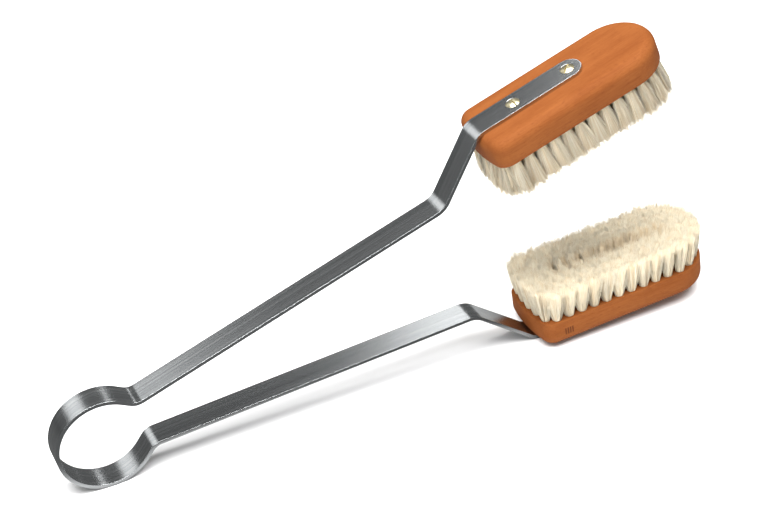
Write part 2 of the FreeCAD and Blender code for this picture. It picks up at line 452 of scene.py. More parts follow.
@dataclass(frozen=True)
class PaleBrass:
    """Polished brass of the wood screws, with faint dull stains."""

    colour: tuple = (0.70, 0.63, 0.42, 1.0)
    dull: tuple = (0.36, 0.29, 0.15, 1.0)

    def material(self) -> bpy.types.Material:
        """Fine turning marks and faint stains.

        Returns:
            The material.
        """
        material, tree = new_material("pale_brass")
        place = tree.plain_place()
        stain = tree.noise(place, 420.0, 3.0, 0.6)
        tree.surface({
            "Base Color": tree.mix((stain - 0.42) * 1.6, self.colour, self.dull),
            "Metallic": 1.0,
            "Roughness": 0.28 + stain * 0.14,
            "Normal": tree.bump(tree.noise(place, 2600.0, 2.0), 0.15, 0.01 * MM)})
        return material


# ---------------------------------------------------------------------------
# Modelling helpers
# ---------------------------------------------------------------------------

Point = Union[Vector, Sequence[float]]


def deselect_all() -> None:
    """Leave edit mode and clear the selection."""
    if bpy.context.object is not None and bpy.context.object.mode == "EDIT":
        bpy.ops.object.mode_set(mode="OBJECT")
    bpy.ops.object.select_all(action="DESELECT")


def take(piece: bpy.types.Object) -> None:
    """Make one object the only selected and the active one.

    Args:
        piece: The object.
    """
    deselect_all()
    piece.select_set(True)
    bpy.context.view_layer.objects.active = piece


def apply_modifier(piece: bpy.types.Object, kind: str, **settings: object) -> None:
    """Add a modifier and apply it at once.

    Args:
        piece: The object to change.
        kind: The modifier's type.
        settings: The modifier's attributes.
    """
    take(piece)
    modifier = piece.modifiers.new(kind.lower(), kind)
    for name, value in settings.items():
        setattr(modifier, name, value)
    bpy.ops.object.modifier_apply(modifier=modifier.name)


def pick(piece: bpy.types.Object, kind: str, wanted: Callable) -> int:
    """Select the parts of a mesh in edit mode that a test accepts.

    Args:
        piece: The object in edit mode.
        kind: "VERT", "EDGE" or "FACE".
        wanted: Test of one bmesh vertex, edge or face.

    Returns:
        How many were selected.
    """
    bpy.ops.mesh.select_mode(type=kind)
    bpy.ops.mesh.select_all(action="DESELECT")
    mesh = bmesh.from_edit_mesh(piece.data)
    group = {"VERT": mesh.verts, "EDGE": mesh.edges, "FACE": mesh.faces}[kind]
    chosen = [part for part in group if wanted(part)]
    for part in chosen:
        part.select_set(True)
    mesh.select_flush_mode()
    bmesh.update_edit_mesh(piece.data)
    return len(chosen)


class EdgePath:
    """Draws a line of edges in edit mode, or pulls a whole section along, by extrude and spin."""

    def __init__(self, name: str, start: Point) -> None:
        """Begin a new mesh with one vertex.

        Args:
            name: Name of the object and its mesh.
            start: The vertex's place.
        """
        deselect_all()
        bpy.ops.mesh.primitive_plane_add(size=MM, location=(0, 0, 0))
        self.piece = bpy.context.object
        self.piece.name = name
        self.piece.data.name = name
        bpy.ops.object.mode_set(mode="EDIT")
        bpy.ops.mesh.select_mode(type="VERT")
        bpy.ops.mesh.select_all(action="SELECT")
        bpy.ops.mesh.merge(type="CENTER")
        bpy.ops.transform.translate(value=Vector(start))

    def pull(self, by: Point, times: int = 1) -> None:
        """Extrude what is selected, in a number of equal steps.

        Args:
            by: The whole way.
            times: How many steps.
        """
        step = Vector(by) / times
        for _ in range(times):
            bpy.ops.mesh.extrude_region_move(TRANSFORM_OT_translate={"value": step})

    def turn(self, centre: Point, axis: Point, angle: float, steps: int) -> None:
        """Spin what is selected round a centre."""
        bpy.ops.mesh.spin(steps=steps, angle=-angle, center=centre, axis=axis, use_normal_flip=False)

    def done(self) -> bpy.types.Object:
        """Merge doubles, make the normals agree and leave edit mode.

        Returns:
            The finished object.
        """
        bpy.ops.mesh.select_all(action="SELECT")
        bpy.ops.mesh.remove_doubles(threshold=SAME_PLACE)
        bpy.ops.mesh.normals_make_consistent(inside=False)
        bpy.ops.object.mode_set(mode="OBJECT")
        return self.piece


def smooth(piece: bpy.types.Object, angle: float = 30.0) -> None:
    """Smooth shading with the sharper edges kept."""
    take(piece)
    bpy.ops.object.shade_smooth_by_angle(angle=math.radians(angle))


def dress(piece: bpy.types.Object, material: bpy.types.Material) -> None:
    """Give a piece one material."""
    piece.data.materials.clear()
    piece.data.materials.append(material)


def cut(piece: bpy.types.Object, cutter: bpy.types.Object) -> None:
    """Cut one closed mesh out of another and remove the cutter."""
    apply_modifier(piece, "BOOLEAN", operation="DIFFERENCE", object=cutter, solver="EXACT")
    bpy.data.objects.remove(cutter)


# ---------------------------------------------------------------------------
# The tongs' layout
# ---------------------------------------------------------------------------

@dataclass(frozen=True)
class Layout:
    """Sizes of the bent strip, and the frames that follow from them."""

    width: float = 15.0 * MM
    thickness: float = 2.0 * MM
    loop_radius: float = 24.6 * MM
    neck_angle: float = math.radians(40.2)
    neck_length: float = 4.3 * MM
    neck_radius: float = 8.0 * MM
    arm_angle: float = math.radians(7.0)
    arm_length: float = 173.4 * MM
    step_angle: float = math.radians(48.2)
    step_radius_in: float = 12.0 * MM
    step_length: float = 34.4 * MM
    step_radius_out: float = 10.0 * MM
    pad_angle: float = math.radians(7.1)
    pad_length: float = 61.2 * MM
    screw_places: tuple = (20.6 * MM, 53.6 * MM)

    @staticmethod
    def heading(angle: float) -> Vector:
        """Unit vector at an angle above the tongs' X axis."""
        return Vector((math.cos(angle), 0, math.sin(angle)))

    def bends(self) -> list[tuple[float, float]]:
        """The neck bend and the two step bends.

        Returns:
            (radius, turn) pairs, left turns positive.
        """
        return [(self.neck_radius, self.neck_angle + self.arm_angle),
                (self.step_radius_in, self.step_angle - self.arm_angle),
                (self.step_radius_out, self.pad_angle - self.step_angle)]

    def runs(self) -> list[float]:
        """The straight stretch before each bend."""
        return [self.neck_length, self.arm_length, self.step_length]

    def pad_start(self) -> Vector:
        """Where the strip's middle line reaches the upper pad.

        Returns:
            The place in the tongs' frame.
        """
        angle = -self.neck_angle
        position = self.heading(angle + math.pi / 2) * self.loop_radius
        for run, (radius, turn) in zip(self.runs(), self.bends()):
            position = position + self.heading(angle) * run
            side = math.copysign(math.pi / 2, turn)
            centre = position + self.heading(angle + side) * radius
            angle += turn
            position = centre - self.heading(angle + side) * radius
        return position

    def tilt(self) -> float:
        """The angle that lays the loop and the lower pad's bend on the ground.

        Returns:
            The angle in radians.
        """
        centre = self.pad_start() - self.heading(self.pad_angle + math.pi / 2) * self.step_radius_out
        drop = (self.loop_radius - self.step_radius_out) / centre.length
        return math.atan2(centre.z, centre.x) - math.asin(drop)

    def to_row(self) -> Matrix:
        """From the tongs' frame to the row frame."""
        loop_axis = Vector(frame["joints"][0]["pos_m"])
        return Matrix.Translation(loop_axis) @ Matrix.Rotation(-self.tilt(), 4, "Y")

    def pad(self, side: Side) -> Matrix:
        """From one half's pad coordinates to the row frame.

        Args:
            side: Which half.

        Returns:
            The matrix.
        """
        along = self.heading(self.pad_angle)
        inward = self.heading(self.pad_angle - math.pi / 2)
        origin = self.pad_start() + inward * (self.thickness / 2)
        across = inward.cross(along)
        local = Matrix((along, across, inward)).transposed().to_4x4()
        local.translation = origin
        half_turn = Matrix.Rotation(math.pi if side is Side.LOWER else 0.0, 4, "X")
        return self.to_row() @ half_turn @ local


LAYOUT = Layout()


# ---------------------------------------------------------------------------
# Spring strip
# ---------------------------------------------------------------------------

@dataclass
class SpringStrip:
    """The whole bent strip: loop, necks, arms, steps and round-ended pads with countersunk holes."""

    layout: Layout = LAYOUT
    edge_round: float = 0.42 * MM
    face_margin: float = 0.5 * MM
    arc_step: float = math.radians(2.5)
    arm_steps: int = 14
    step_steps: int = 4
    pad_steps: int = 5
    tip_steps: int = 14
    tip_angle: float = math.radians(87.0)
    corner_angle: float = math.radians(50.0)
    broad_face: float = 0.35 * MM * MM
    sink_radius: float = 3.86 * MM
    hole_radius: float = 1.9 * MM
    hole_steps: int = 40
    over: float = 0.3 * MM

    def build(self) -> bpy.types.Object:
        """Bend the upper half, mirror it, round its edges and drill it.

        Returns:
            The finished strip.
        """
        piece = self._half()
        apply_modifier(piece, "MIRROR", use_axis=(False, False, True), use_mirror_merge=True,
                       merge_threshold=0.01 * MM)
        self._round_edges(piece)
        for side in (Side.UPPER, Side.LOWER):
            for place in self.layout.screw_places:
                cut(piece, self._sink(place, side))
        piece.data.transform(self.layout.to_row())
        smooth(piece, 32.0)
        dress(piece, BrushedSteel().material())
        return piece

    def _half(self) -> bpy.types.Object:
        """The upper half with square edges, from the back of the loop to the pad's tip.

        Returns:
            The half strip, open at the back of the loop.
        """
        lay = self.layout
        half_width, half_thick = lay.width / 2, lay.thickness / 2
        path = EdgePath("spring_strip", (-lay.loop_radius - half_thick, -half_width, 0))
        path.pull((lay.thickness, 0, 0))
        bpy.ops.mesh.select_all(action="SELECT")
        path.pull((0, lay.width, 0))
        bpy.ops.mesh.select_all(action="SELECT")
        bpy.ops.mesh.delete(type="ONLY_FACE")
        bpy.ops.mesh.select_all(action="SELECT")
        angle = math.pi / 2
        position = Vector((-lay.loop_radius, 0, 0))
        loop_turn = -(math.pi / 2 + lay.neck_angle)
        position, angle = self._bend(path, position, angle, lay.loop_radius, loop_turn)
        counts = (1, self.arm_steps, self.step_steps)
        for run, count, (radius, turn) in zip(lay.runs(), counts, lay.bends()):
            path.pull(lay.heading(angle) * run, count)
            position = position + lay.heading(angle) * run
            position, angle = self._bend(path, position, angle, radius, turn)
        path.pull(lay.heading(angle) * (lay.pad_length - half_width), self.pad_steps)
        self._round_tip(path, angle)
        return path.done()

    def _bend(self, path: EdgePath, position: Vector, angle: float, radius: float,
              turn: float) -> tuple[Vector, float]:
        """Spin the section through one bend.

        Args:
            path: The path with the section selected.
            position: Place of the section's middle.
            angle: Heading of the strip there.
            radius: The bend's radius at the strip's middle.
            turn: The bend's angle, positive for a left turn.

        Returns:
            The new place and heading.
        """
        side = math.copysign(math.pi / 2, turn)
        centre = position + self.layout.heading(angle + side) * radius
        path.turn(centre, (0, 1, 0), -turn, max(6, round(abs(turn) / self.arc_step)))
        angle += turn
        return centre - self.layout.heading(angle + side) * radius, angle

    def _round_tip(self, path: EdgePath, angle: float) -> None:
        """Narrow the last sections along a half circle and close the end.

        Args:
            path: The path with the section selected.
            angle: Heading of the pad.
        """
        radius = self.layout.width / 2
        done = 0.0
        for step in range(1, self.tip_steps + 1):
            turn = self.tip_angle * step / self.tip_steps
            before = self.tip_angle * (step - 1) / self.tip_steps
            path.pull(self.layout.heading(angle) * (radius * math.sin(turn) - done))
            done = radius * math.sin(turn)
            shrink = math.cos(turn) / math.cos(before)
            bpy.ops.transform.resize(value=(1, shrink, 1))
        bpy.ops.mesh.edge_face_add()

    def _round_edges(self, piece: bpy.types.Object) -> None:
        """Round the strip's corners, and keep the broad faces flat with a narrow margin.

        Args:
            piece: The whole strip.
        """
        take(piece)
        bpy.ops.object.mode_set(mode="EDIT")
        pick(piece, "EDGE", lambda edge: len(edge.link_faces) == 2
             and edge.calc_face_angle(0) > self.corner_angle)
        bpy.ops.mesh.bevel(offset=self.edge_round, segments=4, profile=0.5, clamp_overlap=True)
        pick(piece, "FACE", lambda face: abs(face.normal.y) < 0.01
             and face.calc_area() > self.broad_face)
        bpy.ops.mesh.inset(thickness=self.face_margin, use_even_offset=True)
        bpy.ops.object.mode_set(mode="OBJECT")

    def _sink(self, place: float, side: Side) -> bpy.types.Object:
        """A cutter for one countersunk screw hole, in the tongs' frame.

        Args:
            place: Distance of the hole along the pad.
            side: Which half's pad.

        Returns:
            The cutter.
        """
        thickness, over = self.layout.thickness, self.over
        path = EdgePath("sink", (0, 0, -thickness - over))
        path.pull((self.sink_radius + over, 0, 0))
        drop = self.sink_radius - self.hole_radius
        path.pull((-drop - over, 0, drop + over))
        path.pull((0, 0, thickness - drop + over))
        path.pull((-self.hole_radius, 0, 0))
        bpy.ops.mesh.select_all(action="SELECT")
        path.turn((0, 0, 0), (0, 0, 1), 2 * math.pi, self.hole_steps)
        cutter = path.done()
        pad = self.layout.to_row().inverted() @ self.layout.pad(side)
        cutter.data.transform(pad @ Matrix.Translation((place, 0, 0)))
        return cutter


# ---------------------------------------------------------------------------
# Wooden block
# ---------------------------------------------------------------------------

@dataclass(frozen=True)
class BlockShape:
    """The wooden block's plan and thickness, in pad coordinates."""

    start: float = -2.6 * MM
    end: float = 101.2 * MM
    width: float = 45.0 * MM
    thickness: float = 14.8 * MM
    bulge: float = 3.0 * MM
    corner: float = 7.5 * MM
    back_round: float = 5.6 * MM
    face_bevel: float = 0.5 * MM

    @property
    def near_radius(self) -> float:
        """Radius of the shallow arc at the near end."""
        half = self.width / 2
        return (half ** 2 + self.bulge ** 2) / (2 * self.bulge)

    @property
    def near_centre(self) -> float:
        """Place of that arc's centre along the pad."""
        return self.start - self.bulge + self.near_radius

    @property
    def far_centre(self) -> float:
        """Place of the far half circle's centre along the pad."""
        return self.end - self.width / 2

    def line(self, inset: float, count: int) -> np.ndarray:
        """Evenly spaced places round the block at an inset from its edge.

        Args:
            inset: Distance inside the block's edge.
            count: How many places.

        Returns:
            An array of (along, across) places, from the middle of the near end round through -Y.
        """
        side = self.width / 2 - inset
        radius = self.near_radius - inset
        spread = math.asin(side / radius)
        corner = self.near_centre - radius * math.cos(spread)
        lengths = [radius * spread, self.far_centre - corner, math.pi * side,
                   self.far_centre - corner, radius * spread]
        places = []
        for index in range(count):
            run = sum(lengths) * index / count
            stretch = 0
            while run > lengths[stretch]:
                run -= lengths[stretch]
                stretch += 1
            if stretch in (0, 4):
                turn = run / radius if stretch == 0 else run / radius - spread
                across = -math.sin(turn)
                places.append((self.near_centre - radius * math.cos(turn), radius * across))
            elif stretch == 2:
                turn = run / side - math.pi / 2
                places.append((self.far_centre + side * math.cos(turn), side * math.sin(turn)))
            else:
                along = corner + run if stretch == 1 else self.far_centre - run
                places.append((along, -side if stretch == 1 else side))
        return np.array(places)


@dataclass(frozen=True)
class TuftRing:
    """One ring of tufts.

    Attributes:
        kind: Which of the rings.
        inset: Distance of the roots inside the block's edge.
        lean: How much nearer to the edge the tips are.
        spread: Half of a tuft's width at its tips, from the block's edge inwards.
        spread_along: The same along the ring.
        count: Number of tufts.
        hairs: Single hairs in each tuft.
        parting_shade: Painted shade: how much darker and more tanned the hairs are that face the middle
            of the block.
    """

    kind: Ring
    inset: float
    lean: float
    spread: float
    spread_along: float
    count: int
    hairs: int
    parting_shade: float = 0.0


BLOCK = BlockShape()
RINGS = (TuftRing(Ring.OUTER, 4.2 * MM, 1.6 * MM, 4.2 * MM, 6.9 * MM, 33, 385),
         TuftRing(Ring.MIDDLE, 11.3 * MM, 1.2 * MM, 4.3 * MM, 6.4 * MM, 27, 440),
         TuftRing(Ring.INNER, 18.3 * MM, 2.3 * MM, 3.4 * MM, 6.4 * MM, 20, 480, 1.3))
HOLE_RADIUS = 2.6 * MM
HOLE_DEPTH = 6.0 * MM
HAIR_LENGTH = 20.5 * MM


@dataclass
class BrushBlock:
    """A wooden block: rounded back, straight sides and a drilled face."""

    side: Side
    shape: BlockShape = BLOCK
    margin: float = 0.9 * MM
    side_steps: int = 6
    far_steps: int = 40
    corner_steps: int = 12
    near_steps: int = 8
    drill_sides: int = 20
    drill_over: float = 1.0 * MM

    def build(self) -> bpy.types.Object:
        """Draw the plan, raise it, round its edges and drill its holes.

        Returns:
            The finished block.
        """
        piece = self._blank()
        self._soften(piece)
        cut(piece, self._drill())
        pad = LAYOUT.pad(self.side)
        piece.data.transform(pad)
        smooth(piece, 35.0)
        wood = PearWood("pear_wood_" + self.side.value, pad.inverted(), self.side is Side.LOWER)
        dress(piece, wood.material())
        return piece

    def _blank(self) -> bpy.types.Object:
        """The plan as one line of edges, filled and raised to the block's thickness.

        Returns:
            The block with square edges.
        """
        shape = self.shape
        half = shape.width / 2
        inner = half - shape.corner
        reach = shape.near_radius - shape.corner
        corner = shape.near_centre - math.sqrt(reach ** 2 - inner ** 2)
        spread = math.asin(inner / reach)
        up = (0, 0, 1)
        path = EdgePath(self.side.value + "_brush_block", (corner, -half, 0))
        path.pull((shape.far_centre - corner, 0, 0), self.side_steps)
        path.turn((shape.far_centre, 0, 0), up, math.pi, self.far_steps)
        path.pull((corner - shape.far_centre, 0, 0), self.side_steps)
        path.turn((corner, inner, 0), up, math.pi / 2 - spread, self.corner_steps)
        path.turn((shape.near_centre, 0, 0), up, 2 * spread, self.near_steps)
        path.turn((corner, -inner, 0), up, math.pi / 2 - spread, self.corner_steps)
        bpy.ops.mesh.select_all(action="SELECT")
        bpy.ops.mesh.remove_doubles(threshold=SAME_PLACE)
        bpy.ops.mesh.edge_face_add()
        path.pull((0, 0, shape.thickness))
        return path.done()

    def _soften(self, piece: bpy.types.Object) -> None:
        """Round the back's rim, bevel the face's rim and keep both broad faces flat.

        Args:
            piece: The square-edged block.
        """
        take(piece)
        bpy.ops.object.mode_set(mode="EDIT")
        for level, offset, segments in ((0.0, self.shape.back_round, 8),
                                        (self.shape.thickness, self.shape.face_bevel, 2)):
            pick(piece, "EDGE", lambda edge: all(abs(vert.co.z - level) < 0.01 * MM
                                                 for vert in edge.verts))
            bpy.ops.mesh.bevel(offset=offset, segments=segments, profile=0.5)
        for level in (0.0, self.shape.thickness):
            pick(piece, "FACE", lambda face: abs(face.calc_center_median().z - level) < 0.01 * MM)
            bpy.ops.mesh.inset(thickness=self.margin)
        bpy.ops.object.mode_set(mode="OBJECT")

    def _drill(self) -> bpy.types.Object:
        """All the tuft holes as one cutter: one drill modelled once and copied.

        Returns:
            The cutter.
        """
        deselect_all()
        bpy.ops.mesh.primitive_cylinder_add(vertices=self.drill_sides, radius=HOLE_RADIUS,
                                            depth=HOLE_DEPTH + self.drill_over)
        drill = bpy.context.object
        middle = self.shape.thickness - (HOLE_DEPTH - self.drill_over) / 2
        drill.data.transform(Matrix.Translation((0, 0, middle)))
        copies = []
        for ring in RINGS:
            for along, across in self.shape.line(ring.inset, ring.count):
                copy = drill.copy()
                copy.data = drill.data.copy()
                copy.data.transform(Matrix.Translation((along, across, 0)))
                bpy.context.scene.collection.objects.link(copy)
                copies.append(copy)
        bpy.data.objects.remove(drill)
        deselect_all()
        for copy in copies:
            copy.select_set(True)
        bpy.context.view_layer.objects.active = copies[0]
        bpy.ops.object.join()
        return copies[0]


# ---------------------------------------------------------------------------
# Wood screws
# ---------------------------------------------------------------------------

@dataclass
class WoodScrew:
    """A slotted raised countersunk wood screw."""

    side: Side
    name: str
    along: float
    slot_angle: float
    head_radius: float = 3.7 * MM
    dome: float = 1.2 * MM
    shank_radius: float = 1.75 * MM
    core_radius: float = 1.2 * MM
    neck_depth: float = 2.0 * MM
    thread_pitch: float = 1.2 * MM
    thread_turns: int = 4
    point: float = 2.2 * MM
    slot_width: float = 0.95 * MM
    slot_depth: float = 1.25 * MM
    rim: float = 0.12 * MM
    dome_steps: int = 8
    steps: int = 48

    def build(self, finish: bpy.types.Material) -> bpy.types.Object:
        """Turn the screw from its outline and cut its slot.

        Args:
            finish: The brass.

        Returns:
            The finished screw.
        """
        piece = self._turned()
        cut(piece, self._slot())
        piece.data.transform(LAYOUT.pad(self.side) @ Matrix.Translation((self.along, 0, 0)))
        smooth(piece, 28.0)
        dress(piece, finish)
        return piece

    def _turned(self) -> bpy.types.Object:
        """The outline from the middle of the dome to the point, spun round the axis.

        Returns:
            The screw without its slot.
        """
        level = -LAYOUT.thickness
        radius = (self.head_radius ** 2 + self.dome ** 2) / (2 * self.dome)
        reach = math.asin(self.head_radius / radius)
        path = EdgePath(f"{self.side.value}_screw_{self.name}_turned", (0, 0, level - self.dome))
        path.turn((0, 0, level - self.dome + radius), (0, -1, 0), reach,
                  self.dome_steps)
        path.pull((0, 0, self.rim))
        drop = self.head_radius - self.shank_radius
        path.pull((-drop, 0, drop))
        path.pull((0, 0, self.neck_depth - (level + self.rim + drop)))
        ridge = self.shank_radius - self.core_radius
        for _ in range(self.thread_turns):
            path.pull((-ridge, 0, self.thread_pitch / 2))
            path.pull((ridge, 0, self.thread_pitch / 2))
        path.pull((-ridge, 0, self.thread_pitch / 2))
        path.pull((-self.core_radius, 0, self.point))
        bpy.ops.mesh.select_all(action="SELECT")
        path.turn((0, 0, 0), (0, 0, 1), 2 * math.pi, self.steps)
        return path.done()

    def _slot(self) -> bpy.types.Object:
        """The cutter of the driver slot.

        Returns:
            The cutter.
        """
        deselect_all()
        top = -LAYOUT.thickness - self.dome
        bpy.ops.mesh.primitive_cube_add(size=1.0, location=(0, 0, 0))
        slot = bpy.context.object
        size = Matrix.Diagonal((4 * self.head_radius, self.slot_width, 2 * self.slot_depth, 1))
        turn = Matrix.Rotation(self.slot_angle, 4, "Z")
        slot.data.transform(Matrix.Translation((0, 0, top)) @ turn @ size)
        return slot


# ---------------------------------------------------------------------------
# Hair
# ---------------------------------------------------------------------------

@dataclass
class HairRing:
    """One ring of tufts: each is a solid bundle with single hairs round it and above it.

    The hairs of a tuft belong to locks, and the hairs of a lock wander, end and shine together.
    """

    side: Side
    ring: TuftRing
    seed: int
    root_radius: float = 2.15 * MM
    sunk: float = 1.0 * MM
    hair_radius: float = 0.13 * MM
    locks: int = 26
    squareness: float = 3.0
    sway: float = 0.20 * MM
    wander: float = 0.38 * MM
    lock_wander: float = 0.30 * MM
    rounded: float = 0.4 * MM
    uneven: float = 0.28 * MM
    tuft_uneven: float = 0.10 * MM
    lock_uneven: float = 0.16 * MM
    bend: float = 0.35 * MM
    curl: float = 0.32 * MM
    curl_from: float = 0.55
    lock_tone: float = 0.24
    jitter: float = 0.20
    lock_jitter: float = 0.28
    hair_sides: int = 3
    core_sides: int = 14
    levels: tuple = (0.0, 0.45, 0.85)
    tapers: tuple = (1.0, 0.95, 0.62)
    core_levels: tuple = (0.0, 0.25, 0.5, 0.7, 0.82, 0.87)
    core_widths: tuple = (0.90, 0.88, 0.86, 0.86, 0.84, 0.50)

    def build(self, finish: bpy.types.Material) -> bpy.types.Object:
        """Model one straight hair and one bundle, then set copies along the tufts' curves.

        Args:
            finish: The hair's material.

        Returns:
            The finished ring of tufts.
        """
        hair, hair_faces = self._shape(
            self._single(self.hair_sides, self.levels, self.tapers, True))
        core, core_faces = self._shape(
            self._single(self.core_sides, self.core_levels, self.core_widths, False))
        random = np.random.default_rng(self.seed)
        roots = BLOCK.line(self.ring.inset, self.ring.count)
        tips = BLOCK.line(self.ring.inset - self.ring.lean, self.ring.count)
        parts = []
        for root, tip in zip(roots, tips):
            edgeward = (tip - root) / np.linalg.norm(tip - root)
            curve, tone = self._tuft(random, root, tip, edgeward)
            facing = self._facing(random, hair, curve["around"], edgeward)
            parts.append((self._along(hair, curve), facing, self._places(hair, tone), hair_faces))
            bundle = self._bundle(random, core, root, tip, edgeward)
            # painted shade: the solid bundles take a darker, tanned tone so the gaps between the single
            # hairs read as shade
            tone = random.uniform(0.75, 0.95, 1)
            parts.append((bundle, self._bundle_facing(core), self._places(core, tone), core_faces))
        piece = self._mesh(parts)
        dress(piece, finish)
        return piece

    @staticmethod
    def _shape(piece: bpy.types.Object) -> tuple[np.ndarray, list[tuple]]:
        """Take a model's points and faces and remove it.

        Args:
            piece: The model.

        Returns:
            Its points, and the point numbers of each face.
        """
        points = np.array([vert.co for vert in piece.data.vertices])
        faces = [tuple(face.vertices) for face in piece.data.polygons]
        bpy.data.objects.remove(piece)
        return points, faces

    @staticmethod
    def _single(sides: int, levels: tuple, widths: tuple, pointed: bool) -> bpy.types.Object:
        """One straight shape of unit height, turned from its widths at some levels.

        Args:
            sides: Number of sides.
            levels: Heights of the joints, from 0.
            widths: Radius at each joint.
            pointed: Whether it ends in a point at height 1, or flat at the last joint.

        Returns:
            The shape.
        """
        path = EdgePath("single", (widths[0], 0, levels[0]))
        for level, width, before, narrow in zip(levels[1:], widths[1:], levels, widths):
            path.pull((width - narrow, 0, level - before))
        path.pull((-widths[-1], 0, 1.0 - levels[-1] if pointed else 0.0))
        bpy.ops.mesh.select_all(action="SELECT")
        path.turn((0, 0, 0), (0, 0, 1), 2 * math.pi, sides)
        return path.done()

    def _spread(self, around: np.ndarray, edgeward: np.ndarray, share: np.ndarray) -> np.ndarray:
        """Places in a tuft's cross-section, round at the root and wider and squarer higher up.

        Args:
            around: Places in a circle of radius 1.
            edgeward: The direction from the tuft to the block's nearest edge.
            share: Height of the section, from 0 at the root to 1 at the tip.

        Returns:
            The places about the section's middle.
        """
        sideways = np.array([-edgeward[1], edgeward[0]])
        local = np.stack([around @ edgeward, around @ sideways], axis=1)
        square = np.linalg.norm(local, axis=1) / np.maximum(
            np.sum(np.abs(local) ** self.squareness, axis=1) ** (1 / self.squareness), 1e-6)
        local = local * (1 + (square - 1) * share)[:, None]
        across = self.root_radius + (self.ring.spread - self.root_radius) * share
        along = self.root_radius + (self.ring.spread_along - self.root_radius) * share
        return np.outer(local[:, 0] * across, edgeward) + np.outer(local[:, 1] * along, sideways)

    def _tuft(self, random: np.random.Generator, root: np.ndarray, tip: np.ndarray,
              edgeward: np.ndarray) -> tuple[dict, np.ndarray]:
        """Draw the hairs of one tuft.

        Args:
            random: Source of chance.
            root: Place of the hole's middle, along and across the pad.
            tip: Place of the middle of the tuft's tips.
            edgeward: The direction from the tuft to the block's nearest edge.

        Returns:
            The hairs' root, end, sag and curl vectors, and a tone for each hair.
        """
        count = self.ring.hairs
        turn = random.uniform(0, 2 * math.pi, count)
        out = np.sqrt(random.uniform(0.05, 1, count))
        around = np.stack([np.cos(turn), np.sin(turn)], axis=1) * out[:, None]
        wander = random.normal(0, self.wander, (count, 2))
        sway = random.normal(0, self.sway, 2)
        lock = self._lock(around)
        wander += random.normal(0, self.lock_wander, (self.locks, 2))[lock]
        start = root + around * self.root_radius
        end = tip + self._spread(around, edgeward, np.ones(count)) + wander + sway
        height = HAIR_LENGTH - self.rounded * out ** 3 + random.normal(0, self.uneven, count)
        height += random.normal(0, self.tuft_uneven)
        height += random.normal(0, self.lock_uneven, self.locks)[lock]
        low = np.full(count, BLOCK.thickness - self.sunk)
        curve = {
            "around": around,
            "start": np.column_stack([start, low]),
            "end": np.column_stack([end, BLOCK.thickness + height]),
            "bend": np.column_stack([random.normal(0, self.bend, (count, 2)), np.zeros(count)]),
            "curl": np.column_stack([random.normal(0, self.curl, (count, 2)), np.zeros(count)])}
        tone = random.beta(2.0, 3.2, count) + random.normal(0, self.lock_tone, self.locks)[lock]
        # painted shade: the hairs that face the block's middle get a darker, tanned tone
        tone += self.ring.parting_shade * np.clip(-0.2 - around @ edgeward, 0, 1)
        return curve, np.clip(tone, 0.01, 0.99)

    def _lock(self, around: np.ndarray) -> np.ndarray:
        """Which lock of the tuft each hair belongs to."""
        turn = np.arctan2(around[:, 1], around[:, 0]) / (2 * math.pi) + 0.5
        return np.minimum((turn * self.locks).astype(int), self.locks - 1)

    def _along(self, template: np.ndarray, curve: dict) -> np.ndarray:
        """Set a copy of the straight hair along every curve.

        Args:
            template: Points of the straight hair.
            curve: The hairs' root, end, sag and curl vectors.

        Returns:
            The points of every hair.
        """
        share = template[:, 2][None, :, None]
        start, end, bend, curl = (curve[name][:, None, :] for name in ("start", "end", "bend", "curl"))
        line = start + (end - start) * share + bend * np.sin(share * math.pi)
        line = line + curl * np.clip(share - self.curl_from, 0, 1) ** 2 * 4.0
        flat = template * np.array([self.hair_radius, self.hair_radius, 0.0])
        return line + flat[None]

    def _bundle(self, random: np.random.Generator, core: np.ndarray, root: np.ndarray,
                tip: np.ndarray, edgeward: np.ndarray) -> np.ndarray:
        """Set the solid bundle between a tuft's root and its tips, a little uneven all round.

        Args:
            random: Source of chance.
            core: Points of the straight bundle.
            root: Place of the hole's middle, along and across the pad.
            tip: Place of the middle of the tuft's tips.
            edgeward: The direction from the tuft to the block's nearest edge.

        Returns:
            The bundle's points, as one copy.
        """
        share = core[:, 2]
        uneven = random.uniform(0.94, 1.04, len(core))[:, None]
        middle = root + (tip - root) * share[:, None]
        flat = middle + self._spread(core[:, :2] * uneven, edgeward, share)
        height = BLOCK.thickness - self.sunk + (HAIR_LENGTH + self.sunk) * share
        return np.column_stack([flat, height])[None]

    def _facing(self, random: np.random.Generator, template: np.ndarray, around: np.ndarray,
                edgeward: np.ndarray) -> np.ndarray:
        """Soft normals: low down a hair is lit as part of its tuft, and higher up as part of the brush.

        Args:
            random: Source of chance.
            template: Points of the straight hair.
            around: Each hair's place in the tuft.
            edgeward: The direction from the tuft to the block's nearest edge.

        Returns:
            A normal for each point of each hair.
        """
        share = np.broadcast_to(template[:, 2], (len(around), len(template)))[..., None]
        own = np.column_stack([template[:, :2], np.zeros(len(template))])[None]
        outward = np.column_stack([around, np.zeros(len(around))])[:, None, :]
        reach = np.clip(around @ edgeward, 0, 1)[:, None, None]
        edge = np.append(edgeward, 0.0) * reach
        jitter = random.normal(0, self.jitter, (len(around), 1, 3))
        jitter += random.normal(0, self.lock_jitter, (self.locks, 1, 3))[self._lock(around)]
        rise = np.array([0.0, 0.0, 1.0]) * (0.15 + 0.9 * share ** 2)
        facing = outward * (1 - share) ** 2 + edge * share + rise + own * 0.3 + jitter
        return facing / np.linalg.norm(facing, axis=-1, keepdims=True)

    @staticmethod
    def _bundle_facing(template: np.ndarray) -> np.ndarray:
        """Normals of the solid bundle, outwards at its side and up at its top."""
        facing = np.column_stack([template[:, :2], 0.1 + 1.5 * template[:, 2] ** 4])
        return (facing / np.linalg.norm(facing, axis=-1, keepdims=True))[None]

